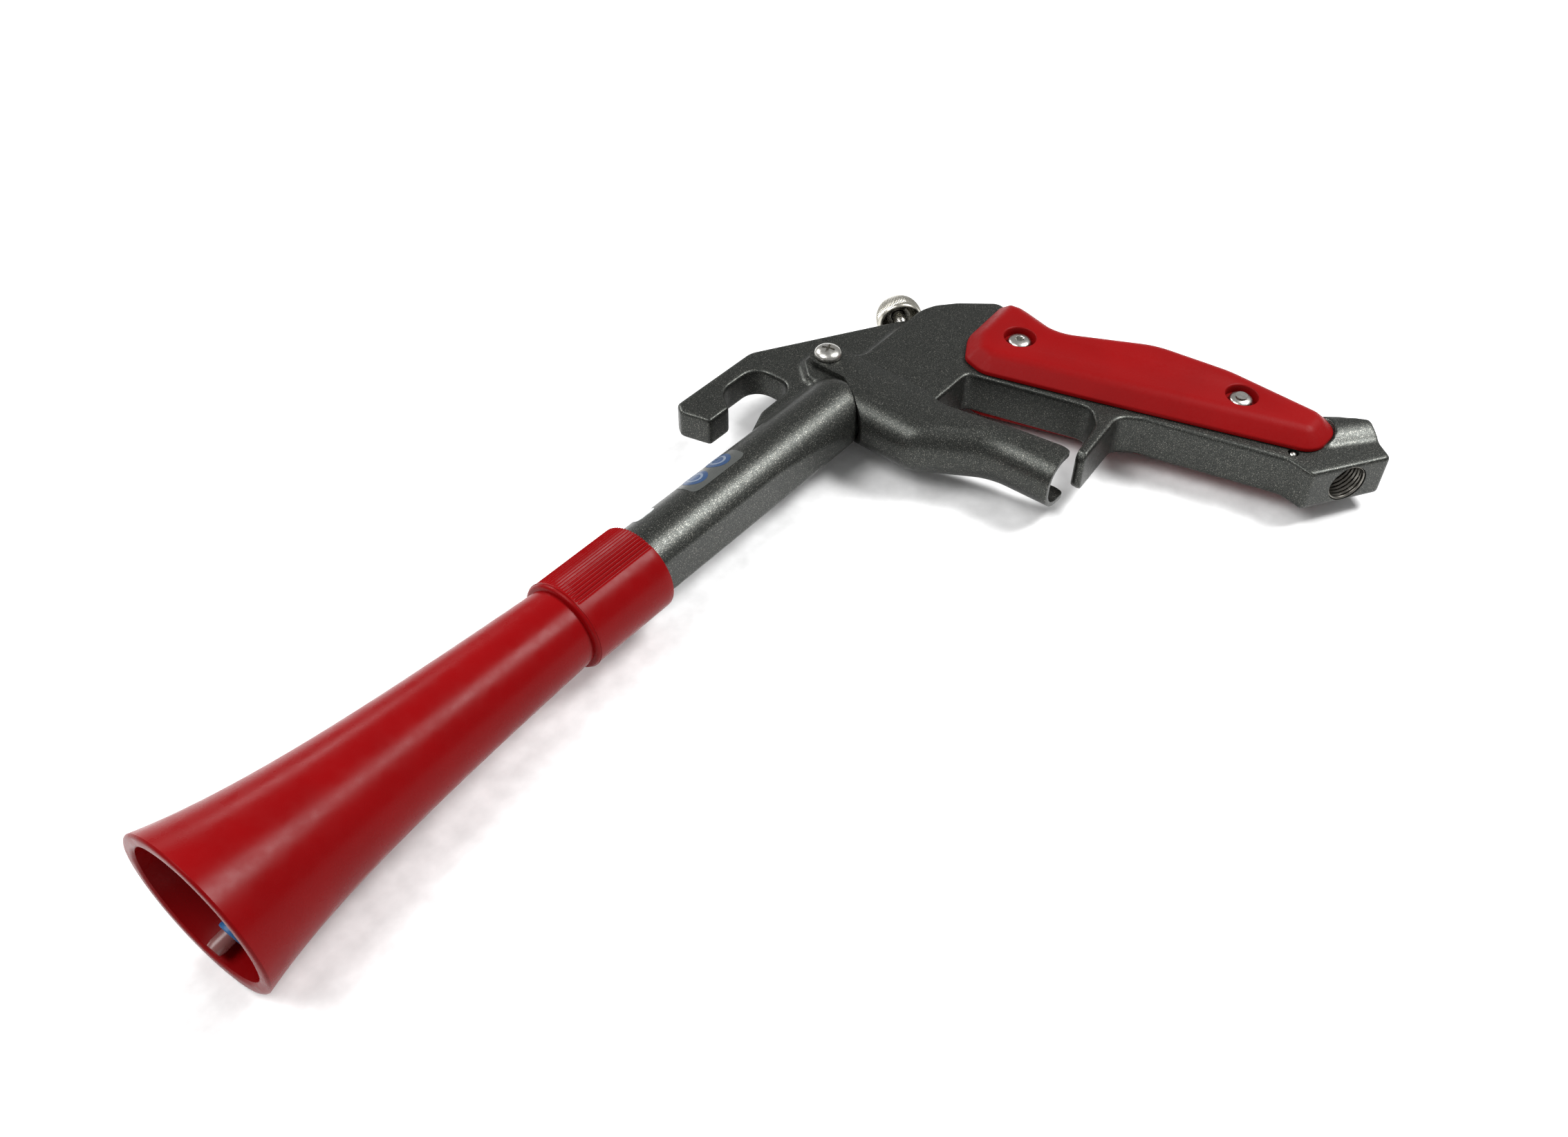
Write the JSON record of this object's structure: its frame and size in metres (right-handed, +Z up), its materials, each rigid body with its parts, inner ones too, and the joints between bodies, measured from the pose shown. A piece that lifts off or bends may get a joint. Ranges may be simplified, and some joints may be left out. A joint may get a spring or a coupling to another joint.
{
  "type": "air blow gun",
  "caption": "Hand-held compressed-air cleaning gun with a flared cone, a loose whip tube, a trigger lever, a hanging hook, a flow knob and red grip plates.",
  "frame": {"origin": "on the floor, under the middle of the bounding box, with the gun lying on its left side", "axes": "+X from the mouth of the cone towards the handle, +Y towards the hook, +Z up; the gun leans by 1.9 degrees as it lies on the cone's rim and the left grip"},
  "size_m": [0.3264, 0.1852, 0.046],
  "materials": {
    "casting": "dark grey textured coat on die-cast aluminium",
    "lever": "dark grey textured coating on steel sheet",
    "red_horn": "semi-gloss red moulding",
    "red_grip": "fine-grained matt red moulding",
    "nickel": "nickel-plated, knurled",
    "steel": "plain stainless steel",
    "insert": "turned steel",
    "brass": "turned brass",
    "rubber": "black nitrile rubber",
    "white_plastic": "white PTFE",
    "clear_tube": "translucent polyamide",
    "ring_blue": "semi-gloss blue"
  },
  "bodies": {
    "frame": {"body_casting": "casting", "cone_horn": "red_horn", "cone_seal": "rubber", "grip_left": "red_grip", "grip_right": "red_grip", "grip_screw_left_1": "steel", "grip_screw_left_2": "steel", "grip_screw_right_1": "steel", "grip_screw_right_2": "steel", "grip_sleeve_1": "brass", "grip_sleeve_2": "brass", "inlet_insert": "insert", "inlet_strainer": "insert", "locating_dowel": "steel", "needle_seal": "rubber", "pivot_nut": "steel", "pivot_screw": "steel", "pivot_sleeve": "brass", "stem_seal": "rubber", "swivel_bush": "white_plastic", "swivel_carrier": "brass", "valve_gland": "brass", "valve_seat": "brass"},
    "lever": {"lever": "lever"},
    "valve": {"valve_stem": "steel", "valve_poppet": "rubber", "valve_spring": "steel"},
    "needle": {"needle_screw": "steel"},
    "knob": {"regulating_knob": "nickel"},
    "whip": {"whip_tube": "clear_tube", "whip_ring": "ring_blue", "swivel_hub": "brass"}
  },
  "joints": [
    {"name": "lever_pivot", "type": "hinge", "parent": "frame", "child": "lever", "pos_m": [0.07868, 0.06933, 0.01461], "axis": [0.0343, 0.0086, 0.9994], "range_deg": [0, 7.5], "stiffness_Nm_per_rad": 0.8, "springref_deg": -17.19},
    {"name": "valve_travel", "type": "slide", "parent": "frame", "child": "valve", "axis": [0.9994, -0.0001, -0.0343], "range_m": [0, 0.004]},
    {"name": "needle_travel", "type": "slide", "parent": "frame", "child": "needle", "axis": [0.6686, 0.743, -0.0294], "range_m": [-0.0015, 0.0015]},
    {"name": "knob_turn", "type": "hinge", "parent": "needle", "child": "knob", "pos_m": [0.12095, 0.07093, 0.01315], "axis": [0.6686, 0.743, -0.0294], "range_deg": [-720, 720]},
    {"name": "whip_spin", "type": "hinge", "parent": "frame", "child": "whip", "pos_m": [-0.05254, 0.05675, 0.01923], "axis": [0.9994, -0.0001, -0.0343], "continuous": true}
  ],
  "couplings": [
    {"joint": "valve_travel", "follows": "lever_pivot", "m_per_rad": 0.0298},
    {"joint": "knob_turn", "follows": "needle_travel", "rad_per_m": 8377.5}
  ]
}
